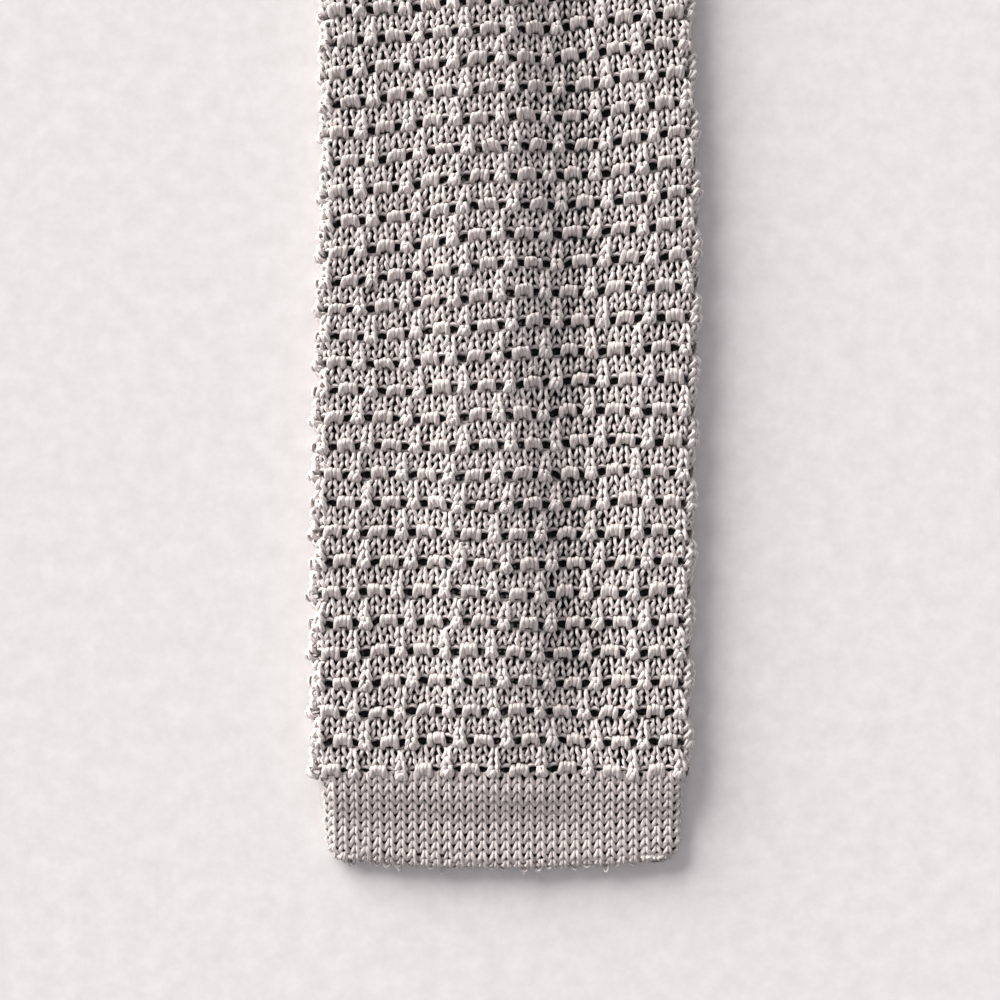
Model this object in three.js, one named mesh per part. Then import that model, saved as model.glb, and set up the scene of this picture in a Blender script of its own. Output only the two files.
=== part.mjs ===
// A knit tie laid out straight and flat, face up.
//
// The cloth is one long flattened tube of thick tuck-stitch knit. The turned-in edges of its back seam lie inside
// the tube and raise a low ridge in the face. A thinner band of plain knit, sewn shut along its edge, closes each end.
//
// Sizes are in millimetres. X runs across the tie, Y from the wide end to the narrow end, and Z up from the surface
// that the tie rests on.
import * as THREE from "three";

// Length and width of the tie.
const BLADE_LENGTH = 640; // from the wide end's edge to the neck
const NECK_LENGTH = 330; // the narrow stretch that goes under a collar
const TAIL_LENGTH = 480; // from the neck to the narrow end's edge
const WIDE_END_WIDTH = 64; // at its widest
const NECK_WIDTH = 38;
const NARROW_END_WIDTH = 50;

// The two layers of tuck-stitch cloth.
const CLOTH_THICKNESS = 1.9;
const FOLD_HOLLOW = 0.9; // between the layers, beside the side folds
const VALLEY_HOLLOW = 0.3; // between the layers, where the face sinks right of the seam
const CLEARANCE = 0.3; // between pieces that touch

// The turned-in edges of the back seam, as one strip.
const SEAM_WIDTH = 11; // at the tie's widest place, and narrower where the tie is
const SEAM_THICKNESS = 1;
const SEAM_ASIDE = 4; // from the tie's middle line to the strip's, on the left
const SEAM_SWING = 4; // how far the strip comes back to the right at the wide end
const SEAM_END_MARGIN = 3; // from the end of the tube to the end of the strip

// The plain-knit bands.
const BAND_LENGTH = 14.8;
const BAND_CLOTH_THICKNESS = 1.4;
const BAND_HOLLOW = 0.4;
const BAND_INSET = 1.6; // each side of the band lies this far inside the tube's side
const BAND_TAPER = 0.8; // each side comes in this much more at the edge
const BAND_CORNER_RADIUS = 3.8;
const BAND_BOW = 1.4; // how far the middle of the edge stands out past its corners

const CENTRE_DRIFT = 3; // sideways wander of the laid tie

// How finely the curves are cut into flat faces.
const FINE_STEP = 12; // between sections, near the wide end
const COARSE_STEP = 26; // between sections, on the rest of the tie
const FINE_STRETCH = 190; // how much of the tube has the fine step
const FOLD_SEGMENTS = 5; // round each side fold

const TIE_LENGTH = BLADE_LENGTH + NECK_LENGTH + TAIL_LENGTH;
const CLOTH_AT_FOLDS = 2 * CLOTH_THICKNESS + FOLD_HOLLOW;
const SEAM_HOLLOW = SEAM_THICKNESS + 2 * CLEARANCE;

// Share of the narrowing from the widest place to the neck, along the blade.
const BLADE_TAPER = [
  { along: 0, narrowed: 0.025 },
  { along: 0.14, narrowed: 0 },
  { along: 0.22, narrowed: 0.07 },
  { along: 0.5, narrowed: 0.31 },
  { along: 0.78, narrowed: 0.76 },
  { along: 1, narrowed: 1 },
];

// Share of the widening from the neck to the narrow end, along the tail.
const TAIL_FLARE = [
  { along: 0, widened: 0 },
  { along: 0.22, widened: 0.2 },
  { along: 0.6, widened: 0.78 },
  { along: 1, widened: 1 },
];

// The middle line's sideways place along the whole tie, as a share of CENTRE_DRIFT.
const MIDDLE_LINE = [
  { along: 0, aside: 0 },
  { along: 0.02, aside: -0.1 },
  { along: 0.05, aside: 0.12 },
  { along: 0.078, aside: 0.4 },
  { along: 0.11, aside: 0.1 },
  { along: 0.25, aside: -0.6 },
  { along: 0.42, aside: -1 },
  { along: 0.6, aside: 0.2 },
  { along: 0.8, aside: 0.9 },
  { along: 1, aside: 0 },
];

// The seam strip's way back to the right at the wide end, as a share of SEAM_SWING, along the blade.
const SEAM_LINE = [
  { along: 0, swung: 1 },
  { along: 0.05, swung: 0.85 },
  { along: 0.09, swung: 0.35 },
  { along: 0.13, swung: 0 },
  { along: 1, swung: 0 },
];

// The face's height left of the seam: how far towards the seam's height, across from the side fold to the seam.
const LEFT_OF_SEAM = [
  { across: 0, seam: 0 },
  { across: 0.45, seam: 0 },
  { across: 0.84, seam: 0.05 },
  { across: 0.92, seam: 0.5 },
  { across: 1, seam: 1 },
];

// The face's height right of the seam, as shares of the seam's and the valley's, across from the seam to the side fold.
const RIGHT_OF_SEAM = [
  { across: 0, seam: 1, valley: 0 },
  { across: 0.1, seam: 0.9, valley: 0.1 },
  { across: 0.19, seam: 0.5, valley: 0.5 },
  { across: 0.27, seam: 0.12, valley: 0.88 },
  { across: 0.34, seam: 0, valley: 1 },
  { across: 0.53, seam: 0, valley: 1 },
  { across: 0.61, seam: 0, valley: 0.65 },
  { across: 0.67, seam: 0, valley: 0.2 },
  { across: 0.73, seam: 0, valley: 0 },
  { across: 1, seam: 0, valley: 0 },
];

// A table's column at a place between its rows, on a smooth curve through them.
function readTable(rows, column, along) {
  const last = rows.length - 1;
  const end = THREE.MathUtils.clamp(rows.findIndex((row) => row.along > along), 1, last);
  const after = along >= rows[last].along ? last : end;
  const before = after - 1;
  const slope = (i) => {
    const low = rows[Math.max(i - 1, 0)];
    const high = rows[Math.min(i + 1, last)];
    return (high[column] - low[column]) / (high.along - low.along);
  };
  const span = rows[after].along - rows[before].along;
  const t = THREE.MathUtils.clamp((along - rows[before].along) / span, 0, 1);
  const rise = t * t * (3 - 2 * t);
  return (
    rows[before][column] * (1 - rise) +
    rows[after][column] * rise +
    slope(before) * span * t * (1 - t) * (1 - t) -
    slope(after) * span * t * t * (1 - t)
  );
}

// The tie's full width at a distance from the wide end's edge.
function tieWidth(distance) {
  if (distance < BLADE_LENGTH) {
    const narrowed = readTable(BLADE_TAPER, "narrowed", distance / BLADE_LENGTH);
    return THREE.MathUtils.lerp(WIDE_END_WIDTH, NECK_WIDTH, narrowed);
  }
  const fromNeck = Math.max(distance - BLADE_LENGTH - NECK_LENGTH, 0);
  const widened = readTable(TAIL_FLARE, "widened", fromNeck / TAIL_LENGTH);
  return THREE.MathUtils.lerp(NECK_WIDTH, NARROW_END_WIDTH, widened);
}

function middleX(distance) {
  return CENTRE_DRIFT * readTable(MIDDLE_LINE, "aside", distance / TIE_LENGTH);
}

// The left and right edges of the seam strip, from the tie's middle line.
function seamEdges(distance) {
  const scale = tieWidth(distance) / WIDE_END_WIDTH;
  const swung = readTable(SEAM_LINE, "swung", Math.min(distance / BLADE_LENGTH, 1));
  const middle = (SEAM_SWING * swung - SEAM_ASIDE) * scale;
  const half = (SEAM_WIDTH / 2) * scale;
  return { left: middle - half, right: middle + half };
}

// Places across the face from left to right, with the hollow under each.
function faceStops(distance, flatHalf) {
  const seam = seamEdges(distance);
  const left = LEFT_OF_SEAM.map((row) => ({
    x: THREE.MathUtils.lerp(-flatHalf, seam.left, row.across),
    hollow: THREE.MathUtils.lerp(FOLD_HOLLOW, SEAM_HOLLOW, row.seam),
  }));
  const right = RIGHT_OF_SEAM.map((row) => ({
    x: THREE.MathUtils.lerp(seam.right, flatHalf, row.across),
    hollow:
      row.seam * SEAM_HOLLOW + row.valley * VALLEY_HOLLOW + (1 - row.seam - row.valley) * FOLD_HOLLOW,
  }));
  return [...left, ...right];
}

// Points round one side fold, without its first and last, which belong to the layers.
function foldArc(x, z, radius, startAngle) {
  const points = [];
  for (let i = 1; i < FOLD_SEGMENTS; i++) {
    const angle = startAngle + (Math.PI * i) / FOLD_SEGMENTS;
    points.push([x + radius * Math.cos(angle), z + radius * Math.sin(angle)]);
  }
  return points;
}

// One closed section of a flattened tube, as [x, z] points: under side, right fold, face and left fold.
function flatRing(faceX, faceZ, underZ, foldZ, foldRadius) {
  const first = faceX[0];
  const last = faceX[faceX.length - 1];
  const face = faceX.map((x, i) => [x, faceZ[i]]);
  return [
    [first, underZ],
    [(first + last) / 2, underZ],
    [last, underZ],
    ...foldArc(last, foldZ, foldRadius, -Math.PI / 2),
    ...face.reverse(),
    ...foldArc(first, foldZ, foldRadius, Math.PI / 2),
  ];
}

// A mesh from stacks of sections, each { y, middle, points }, that are set out in order of y.
// The outer stack is the outside, the inner one the hollow. The tube is open at its high end, and at its low end
// too unless it is closed there.
function sleeveGeometry(outer, inner, closedLowEnd) {
  const positions = [];
  const triangles = [];
  const count = outer[0].points.length;
  const place = (stack) =>
    stack.map((section) => {
      const start = positions.length / 3;
      section.points.forEach(([x, z]) => positions.push(section.middle + x, section.y, z));
      return start;
    });
  const outerStarts = place(outer);
  const innerStarts = place(inner);
  const quad = (a, b, c, d) => triangles.push(a, b, c, a, c, d);

  for (let i = 0; i < count; i++) {
    const j = (i + 1) % count;
    for (let k = 1; k < outerStarts.length; k++) {
      const [low, high] = [outerStarts[k - 1], outerStarts[k]];
      quad(low + i, high + i, high + j, low + j);
    }
    for (let k = 1; k < innerStarts.length; k++) {
      const [low, high] = [innerStarts[k - 1], innerStarts[k]];
      quad(low + i, low + j, high + j, high + i);
    }
    const [outerEnd, innerEnd] = [outerStarts.at(-1), innerStarts.at(-1)];
    quad(outerEnd + i, innerEnd + i, innerEnd + j, outerEnd + j);
    if (!closedLowEnd) {
      quad(outerStarts[0] + i, outerStarts[0] + j, innerStarts[0] + j, innerStarts[0] + i);
    }
  }
  if (closedLowEnd) {
    for (let i = 1; i < count - 1; i++) {
      triangles.push(outerStarts[0], outerStarts[0] + i, outerStarts[0] + i + 1);
      triangles.push(innerStarts[0], innerStarts[0] + i + 1, innerStarts[0] + i);
    }
  }
  return bufferGeometry(positions, triangles);
}

// A solid strip from one stack of sections.
function stripGeometry(stack) {
  const positions = [];
  const triangles = [];
  const count = stack[0].points.length;
  stack.forEach((section) => {
    section.points.forEach(([x, z]) => positions.push(section.middle + x, section.y, z));
  });
  for (let k = 1; k < stack.length; k++) {
    const [low, high] = [(k - 1) * count, k * count];
    for (let i = 0; i < count; i++) {
      const j = (i + 1) % count;
      triangles.push(low + i, high + i, high + j, low + i, high + j, low + j);
    }
  }
  const end = (stack.length - 1) * count;
  for (let i = 1; i < count - 1; i++) {
    triangles.push(0, i, i + 1, end, end + i + 1, end + i);
  }
  return bufferGeometry(positions, triangles);
}

function bufferGeometry(positions, triangles) {
  const geometry = new THREE.BufferGeometry();
  geometry.setAttribute("position", new THREE.Float32BufferAttribute(positions, 3));
  geometry.setIndex(triangles);
  geometry.computeVertexNormals();
  return geometry;
}

// Distances from the wide end's edge at which a long piece has its sections.
function sectionPlaces(start, end) {
  const fineEnd = Math.min(start + FINE_STRETCH, (start + end) / 2);
  const fineCount = Math.ceil((fineEnd - start) / FINE_STEP);
  const coarseCount = Math.ceil((end - fineEnd) / COARSE_STEP);
  const places = [];
  for (let i = 0; i < fineCount; i++) {
    places.push(THREE.MathUtils.lerp(start, fineEnd, i / fineCount));
  }
  for (let i = 0; i <= coarseCount; i++) {
    places.push(THREE.MathUtils.lerp(fineEnd, end, i / coarseCount));
  }
  return places;
}

const TUBE_START = BAND_LENGTH + CLEARANCE;
const TUBE_END = TIE_LENGTH - BAND_LENGTH - CLEARANCE;

// The flattened tube of tuck-stitch cloth.
function knitTube() {
  const outer = [];
  const inner = [];
  for (const distance of sectionPlaces(TUBE_START, TUBE_END)) {
    const flatHalf = tieWidth(distance) / 2 - CLOTH_AT_FOLDS / 2;
    const stops = faceStops(distance, flatHalf);
    const faceX = stops.map((stop) => stop.x);
    const insideZ = stops.map((stop) => CLOTH_THICKNESS + stop.hollow);
    const outsideZ = insideZ.map((z) => z + CLOTH_THICKNESS);
    const section = { y: distance - TIE_LENGTH / 2, middle: middleX(distance) };
    const foldZ = CLOTH_AT_FOLDS / 2;
    outer.push({ ...section, points: flatRing(faceX, outsideZ, 0, foldZ, CLOTH_AT_FOLDS / 2) });
    inner.push({ ...section, points: flatRing(faceX, insideZ, CLOTH_THICKNESS, foldZ, FOLD_HOLLOW / 2) });
  }
  return sleeveGeometry(outer, inner, false);
}

// The turned-in edges of the seam: a thin strip with tapered sides between the two layers.
function backSeam() {
  const low = CLOTH_THICKNESS + CLEARANCE;
  const high = low + SEAM_THICKNESS;
  const middleZ = (low + high) / 2;
  const bevel = SEAM_THICKNESS / 2;
  const stack = sectionPlaces(TUBE_START + SEAM_END_MARGIN, TUBE_END - SEAM_END_MARGIN).map((distance) => {
    const { left, right } = seamEdges(distance);
    const points = [
      [left + bevel, low],
      [right - bevel, low],
      [right, middleZ],
      [right - bevel, high],
      [left + bevel, high],
      [left, middleZ],
    ];
    return { y: distance - TIE_LENGTH / 2, middle: middleX(distance), points };
  });
  return stripGeometry(stack);
}

// Half the band's width at a depth from its edge: bowed along the edge, then round at the corner, then tapering.
function bandHalfWidth(depth, openHalf) {
  const side = openHalf - BAND_TAPER * (1 - depth / BAND_LENGTH);
  const straight = side - BAND_CORNER_RADIUS;
  if (depth < BAND_BOW) {
    return straight * Math.sqrt(depth / BAND_BOW);
  }
  const left = Math.max(BAND_BOW + BAND_CORNER_RADIUS - depth, 0);
  return straight + Math.sqrt(BAND_CORNER_RADIUS ** 2 - left ** 2);
}

// A plain-knit band with its edge at y = 0 and its open end, which meets the tube, at y = BAND_LENGTH.
function knitBand(tubeWidth) {
  const openHalf = tubeWidth / 2 - BAND_INSET;
  const thickness = 2 * BAND_CLOTH_THICKNESS + BAND_HOLLOW;
  const ring = (depth, underZ, radius) => {
    const flatHalf = bandHalfWidth(depth, openHalf) - thickness / 2;
    const faceX = [-flatHalf, 0, flatHalf];
    const faceZ = faceX.map(() => thickness - underZ);
    const points = flatRing(faceX, faceZ, underZ, thickness / 2, radius);
    return { y: depth, middle: 0, points };
  };
  const bowDepths = [0.06, 0.2, 0.5, 0.8].map((share) => share * BAND_BOW);
  const cornerDepths = [0, 0.12, 0.3, 0.6, 1].map((share) => BAND_BOW + share * BAND_CORNER_RADIUS);
  const outsideDepths = [...bowDepths, ...cornerDepths, BAND_LENGTH];
  const insideDepths = [...cornerDepths.slice(-2), BAND_LENGTH];
  const outer = outsideDepths.map((depth) => ring(depth, 0, thickness / 2));
  const inner = insideDepths.map((depth) => ring(depth, BAND_CLOTH_THICKNESS, BAND_HOLLOW / 2));
  return sleeveGeometry(outer, inner, true);
}

// Silk yarn, knitted and left undyed: light grey with a slight warm tint and a soft sheen.
function knitMaterial(color, roughness) {
  return new THREE.MeshStandardMaterial({ color, roughness, metalness: 0 });
}

const tube = new THREE.Mesh(knitTube(), knitMaterial("#b4aba8", 0.62));
tube.name = "knit_tube";

const seam = new THREE.Mesh(backSeam(), knitMaterial("#aaa19e", 0.7));
seam.name = "back_seam";

const wideBand = new THREE.Mesh(knitBand(tieWidth(TUBE_START)), knitMaterial("#bdb3b0", 0.58));
wideBand.name = "wide_end_band";
wideBand.position.set(middleX(0), -TIE_LENGTH / 2, 0);

const narrowBand = new THREE.Mesh(knitBand(tieWidth(TUBE_END)), knitMaterial("#bdb3b0", 0.58));
narrowBand.name = "narrow_end_band";
narrowBand.position.set(middleX(TIE_LENGTH), TIE_LENGTH / 2, 0);
narrowBand.rotation.z = Math.PI;

// The wander of the middle line leaves the whole a little to one side, so it is centred across here.
const tie = new THREE.Group();
tie.add(tube, seam, wideBand, narrowBand);
const extent = new THREE.Box3().setFromObject(tie, true);
tie.position.set(-(extent.min.x + extent.max.x) / 2, -(extent.min.y + extent.max.y) / 2, 0);

export default tie;
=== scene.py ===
# %% [markdown]
# # A knit tie, stitch by stitch
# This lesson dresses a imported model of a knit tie. The real one is knitted from silk yarn on a coarse
# flat machine: a thick tuck stitch for the tie, and plain jersey for the narrow band that closes each
# end. Everything you see on it is yarn, so most of the lesson is about making yarn follow the path that
# a knitting needle gives it.

import math

import bpy
import numpy as np
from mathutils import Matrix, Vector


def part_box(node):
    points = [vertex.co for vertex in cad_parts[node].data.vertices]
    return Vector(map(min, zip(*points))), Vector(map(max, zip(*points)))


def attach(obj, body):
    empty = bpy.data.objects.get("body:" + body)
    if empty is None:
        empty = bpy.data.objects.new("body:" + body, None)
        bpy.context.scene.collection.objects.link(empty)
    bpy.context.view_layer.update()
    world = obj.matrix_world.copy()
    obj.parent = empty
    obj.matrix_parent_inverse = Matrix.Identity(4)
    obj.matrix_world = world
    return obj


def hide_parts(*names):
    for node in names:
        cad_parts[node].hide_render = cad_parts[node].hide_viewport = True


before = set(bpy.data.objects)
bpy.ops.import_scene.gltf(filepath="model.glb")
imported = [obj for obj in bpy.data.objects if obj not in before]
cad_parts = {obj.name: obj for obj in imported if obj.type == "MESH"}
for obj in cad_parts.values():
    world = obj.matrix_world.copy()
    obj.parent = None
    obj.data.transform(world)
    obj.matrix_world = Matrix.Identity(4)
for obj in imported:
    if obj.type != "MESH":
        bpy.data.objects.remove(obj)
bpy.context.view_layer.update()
print("nodes:", sorted(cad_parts))

# %% [markdown]
# ## Millimetres
# Yarn and stitches are easiest to think about in millimetres, while Blender's scene is in metres. Every
# size below is in millimetres, and one factor turns it to metres when a mesh is made.

# %% Units and the tie's place
MM = 0.001


def node_box(name):
    """A node's lowest and highest corners in millimetres."""
    low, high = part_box(name)
    return np.array(low) / MM, np.array(high) / MM


band_low, band_high = node_box("wide_end_band")
TIP_Y = band_low[1]
TIP_X = (band_low[0] + band_high[0]) / 2
print("the wide end's edge is at y =", round(TIP_Y, 2), "mm, its middle at x =", round(TIP_X, 2), "mm")

# %% [markdown]
# ## Camera
# The photograph was taken from straight above, and its frame is 168 mm wide at the cloth. A long lens
# keeps both side edges of the tie upright, as they are there. The frame is placed by one picture point:
# the middle of the wide end's edge.

# %% Camera
PHOTO_SIZE = 1000
PHOTO_WIDTH_MM = 168
TIP_PIXEL_X = 503
TIP_PIXEL_Y = 873
LENS = 70
SENSOR = 36
CLOTH_TOP = 4.5
CLIP_NEAR, CLIP_FAR = 0.01, 20

pixel = PHOTO_WIDTH_MM / PHOTO_SIZE
aim_x = TIP_X + (PHOTO_SIZE / 2 - TIP_PIXEL_X) * pixel
aim_y = TIP_Y + (TIP_PIXEL_Y - PHOTO_SIZE / 2) * pixel
camera_height = CLOTH_TOP + PHOTO_WIDTH_MM * LENS / SENSOR

camera = bpy.data.objects.new("camera", bpy.data.cameras.new("camera"))
bpy.context.scene.collection.objects.link(camera)
bpy.context.scene.camera = camera
camera.data.lens = LENS
camera.data.sensor_width = SENSOR
camera.data.clip_start = CLIP_NEAR
camera.data.clip_end = CLIP_FAR
camera.location = (aim_x * MM, aim_y * MM, camera_height * MM)
print("camera height", round(camera_height, 1), "mm, one picture point is", pixel, "mm")

# %% [markdown]
# ## Colours and nodes
# Colours are written as sRGB hex, the way a colour picker shows them, and turned to the linear values
# that the renderer works in. One helper adds a node, sets its values and links its inputs.


# %% Colour and node helpers
def linear(hex_colour):
    """An sRGB hex colour as linear RGBA."""
    channels = [int(hex_colour[i : i + 2], 16) / 255 for i in (1, 3, 5)]
    return (*(c / 12.92 if c <= 0.04045 else ((c + 0.055) / 1.055) ** 2.4 for c in channels), 1)


def add_node(tree, kind, settings=None, **links):
    """Adds a node with its own settings. Each link is an input's value or another node's output."""
    node = tree.nodes.new(kind)
    for name, value in (settings or {}).items():
        setattr(node, name, value)
    for name, value in links.items():
        numbered = name[0] == "i" and name[1:].isdigit()
        socket = node.inputs[int(name[1:]) if numbered else name.replace("_", " ")]
        if isinstance(value, bpy.types.NodeSocket):
            tree.links.new(value, socket)
        else:
            socket.default_value = value
    return node


# %% [markdown]
# ## Floor and light
# A plain pale table top and one large soft source, low on the upper left, with an even pale sky for the
# rest. The low source is what makes a knit readable: each loop is lit on one flank and shades its
# neighbour.

# %% Floor and light
FLOOR_HALF = 8.0
FLOOR_DROP = 0.0001
SUN_ELEVATION = 12
SUN_TURN = 47
SUN_SPREAD = 54
SUN_STRENGTH = 9.2
SKY_STRENGTH = 0.5


def table_top():
    """A matt white laminate, faintly mottled. Its surface is too rough to mirror the low light."""
    material = bpy.data.materials.new("table_laminate")
    material.use_nodes = True
    tree = material.node_tree
    shader = tree.nodes["Principled BSDF"]
    shader.inputs["Roughness"].default_value = 0.85
    shader.inputs["Specular IOR Level"].default_value = 0.1
    place = add_node(tree, "ShaderNodeTexCoord").outputs["Object"]
    mottle = add_node(tree, "ShaderNodeTexNoise", Vector=place, Scale=260.0, Detail=5.0, Roughness=0.7)
    ramp = add_node(tree, "ShaderNodeValToRGB", Fac=mottle.outputs["Fac"])
    for stop, position, colour in zip(ramp.color_ramp.elements, (0.3, 0.7), ("#d7d3d2", "#e3e0df")):
        stop.position = position
        stop.color = linear(colour)
    tree.links.new(ramp.outputs["Color"], shader.inputs["Base Color"])
    return material


floor_mesh = bpy.data.meshes.new("table")
corners = [(-1, -1), (1, -1), (1, 1), (-1, 1)]
floor_mesh.from_pydata([(x * FLOOR_HALF, y * FLOOR_HALF, 0) for x, y in corners], [], [(0, 1, 2, 3)])
floor = bpy.data.objects.new("table", floor_mesh)
bpy.context.scene.collection.objects.link(floor)
floor.location.z = -FLOOR_DROP
floor_mesh.materials.append(table_top())

sun = bpy.data.objects.new("window_light", bpy.data.lights.new("window_light", "SUN"))
bpy.context.scene.collection.objects.link(sun)
sun.data.energy = SUN_STRENGTH
sun.data.angle = math.radians(SUN_SPREAD)
sun.data.color = linear("#fffdfa")[:3]
sun.rotation_euler = (math.radians(90 - SUN_ELEVATION), 0, math.radians(-90 - SUN_TURN))

world = bpy.data.worlds.new("pale_room")
bpy.context.scene.world = world
world.use_nodes = True
sky = world.node_tree.nodes["Background"]
sky.inputs["Color"].default_value = linear("#fbfaff")
sky.inputs["Strength"].default_value = SKY_STRENGTH
bpy.context.scene.view_settings.view_transform = "Standard"
print("sun at", SUN_ELEVATION, "degrees above the table")

# %% [markdown]
# ## The tie's plan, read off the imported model
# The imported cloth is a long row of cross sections. Its left and right edges and the height of its face
# are read from those sections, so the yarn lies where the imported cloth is, with its ridge over the
# turned-in seam and the shallow valley beside it.

# %% Read the sections
SECTION_TOLERANCE = 0.02
SMOOTHING_PASSES = 7
FACE_SHARES = np.linspace(-1, 1, 61)
FOLD_HEIGHT = 4.7
FOLD_RADIUS = FOLD_HEIGHT / 2
FACE_LOWEST = 3.9

cloth_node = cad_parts["knit_tube"]
cloth_points = np.array([v.co for v in cloth_node.data.vertices]) / MM
section_y = np.unique(cloth_points[:, 1].round(2))

section_middle, section_half, section_face = [], [], []
for y in section_y:
    ring = cloth_points[abs(cloth_points[:, 1] - y) < SECTION_TOLERANCE]
    left, right = ring[:, 0].min(), ring[:, 0].max()
    face = ring[ring[:, 2] > FACE_LOWEST]
    face = face[face[:, 0].argsort()]
    middle, half = (left + right) / 2, (right - left) / 2
    section_middle.append(middle)
    section_half.append(half)
    section_face.append(np.interp(middle + FACE_SHARES * (half - FOLD_RADIUS), face[:, 0], face[:, 2]))
section_v = section_y - TIP_Y
section_middle, section_half = np.array(section_middle), np.array(section_half)
section_face = np.array(section_face)
for _ in range(SMOOTHING_PASSES):
    wide = np.pad(section_face, ((0, 0), (1, 1)), mode="edge")
    section_face = (wide[:, :-2] + 2 * wide[:, 1:-1] + wide[:, 2:]) / 4
TUBE_START, TUBE_END = section_v[0], section_v[-1]
print(len(section_v), "sections from", TUBE_START.round(1), "to", TUBE_END.round(1), "mm from the wide end")

# %% [markdown]
# ## A place on the cloth
# A stitch is placed by two numbers: u, how far it lies across from the middle, and v, how far it is
# from the wide end's edge. Past the flat part the cloth turns down round the side fold and runs under,
# so u can be larger than the tie's half width. A third number lifts a point off the cloth or sinks it
# in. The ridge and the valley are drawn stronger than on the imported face, since so thick a knit rides
# well up over the seam.


# %% Places on the cloth
def ease(t):
    """A share from 0 to 1 that starts and ends softly."""
    return t * t * (3 - 2 * t)


def flat_half(v):
    """Half the width of the flat part of the cloth, between its side folds."""
    return np.interp(v, section_v, section_half) - FOLD_RADIUS


def face_height(share, v):
    """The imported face's height at a share of the flat half width, between the sections."""
    row = np.clip(np.interp(v, section_v, np.arange(len(section_v))), 0, len(section_v) - 1.001)
    column = np.clip((share + 1) / 2 * (len(FACE_SHARES) - 1), 0, len(FACE_SHARES) - 1.001)
    r, c = row.astype(int), column.astype(int)
    fr, fc = row - r, column - c
    low = section_face[r, c] * (1 - fc) + section_face[r, c + 1] * fc
    high = section_face[r + 1, c] * (1 - fc) + section_face[r + 1, c + 1] * fc
    return low * (1 - fr) + high * fr


RELIEF_GAIN = 2.8
RELIEF_FADE = 22
RELIEF_ASIDE = 1.6
SIDE_SWELL = 0.5
DEEPEST_YARN = -1.7


def relief(u, v):
    """How high the face stands at a place above its flat parts, below zero in the valley."""
    from_end = np.clip(np.minimum(v - TUBE_START, TUBE_END - v) / RELIEF_FADE, 0, 1)
    gain = 1 + (RELIEF_GAIN - 1) * ease(from_end)
    return gain * (face_height(np.clip((u + RELIEF_ASIDE) / flat_half(v), -1, 1), v) - FOLD_HEIGHT)


def on_cloth(u, v, lift, lowest=0.0):
    """Points and outward normals of places on the cloth, in millimetres."""
    u, v, lift = np.broadcast_arrays(*(np.asarray(a, float) for a in (u, v, lift)))
    middle = np.interp(v, section_v, section_middle)
    flat = flat_half(v)
    over = np.abs(u) - flat
    turn = np.clip(over / FOLD_RADIUS, 0, math.pi)
    under = np.maximum(over - math.pi * FOLD_RADIUS, 0)
    side = np.sign(u)
    top = FOLD_HEIGHT + relief(u, v)
    swell = SIDE_SWELL * np.sin(np.minimum(turn, math.pi / 2)) ** 2
    reach = FOLD_RADIUS + lift + np.where(lift > DEEPEST_YARN, swell, 0)
    x = middle + side * (np.minimum(np.abs(u), flat) + reach * np.sin(turn) - under)
    z = np.where(over <= 0, top + lift, FOLD_RADIUS + reach * np.cos(turn))
    z = np.maximum(z, lowest)
    y = TIP_Y + v
    normals = np.stack([side * np.sin(turn), np.zeros_like(turn), np.cos(turn)], -1)
    return np.stack([x, y, z], -1), normals


# %% [markdown]
# ## Yarn as a mesh
# A yarn is a tube swept along its path. With thousands of stitches the quickest way is to work out all
# the points in arrays and hand them to the mesh at once. Each point also keeps its place on the yarn as
# if the yarn were pulled straight, which the material uses for the twist of the strands. Every tube
# starts at another place along the yarn, so no two courses have the same streaks.


# %% Sweep yarn tubes
YARN_APART = 137.3


def mesh_from_arrays(name, points, quads, caps, straight, lift):
    """An object from points, quads and end caps, with each point's place on the straight yarn and lift,
    which also sets its painted depth shade.
    """
    mesh = bpy.data.meshes.new(name)
    mesh.vertices.add(len(points))
    mesh.vertices.foreach_set("co", (points * MM).astype(np.float32).ravel())
    corners = np.concatenate([quads.ravel(), caps.ravel()]).astype(np.int32)
    sizes = np.concatenate([np.full(len(quads), 4), np.full(len(caps), caps.shape[1])]).astype(np.int32)
    mesh.loops.add(len(corners))
    mesh.loops.foreach_set("vertex_index", corners)
    mesh.polygons.add(len(sizes))
    mesh.polygons.foreach_set("loop_start", np.concatenate([[0], np.cumsum(sizes)[:-1]]).astype(np.int32))
    mesh.polygons.foreach_set("loop_total", sizes)
    mesh.update(calc_edges=True)
    mesh.validate()
    mesh.polygons.foreach_set("use_smooth", np.ones(len(mesh.polygons), bool))
    place = mesh.attributes.new("straight_yarn", "FLOAT_VECTOR", "POINT")
    place.data.foreach_set("vector", straight.astype(np.float32).ravel())
    above = mesh.attributes.new("lift", "FLOAT", "POINT")
    above.data.foreach_set("value", lift.astype(np.float32).ravel())
    piece = bpy.data.objects.new(name, mesh)
    bpy.context.scene.collection.objects.link(piece)
    return piece


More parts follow.
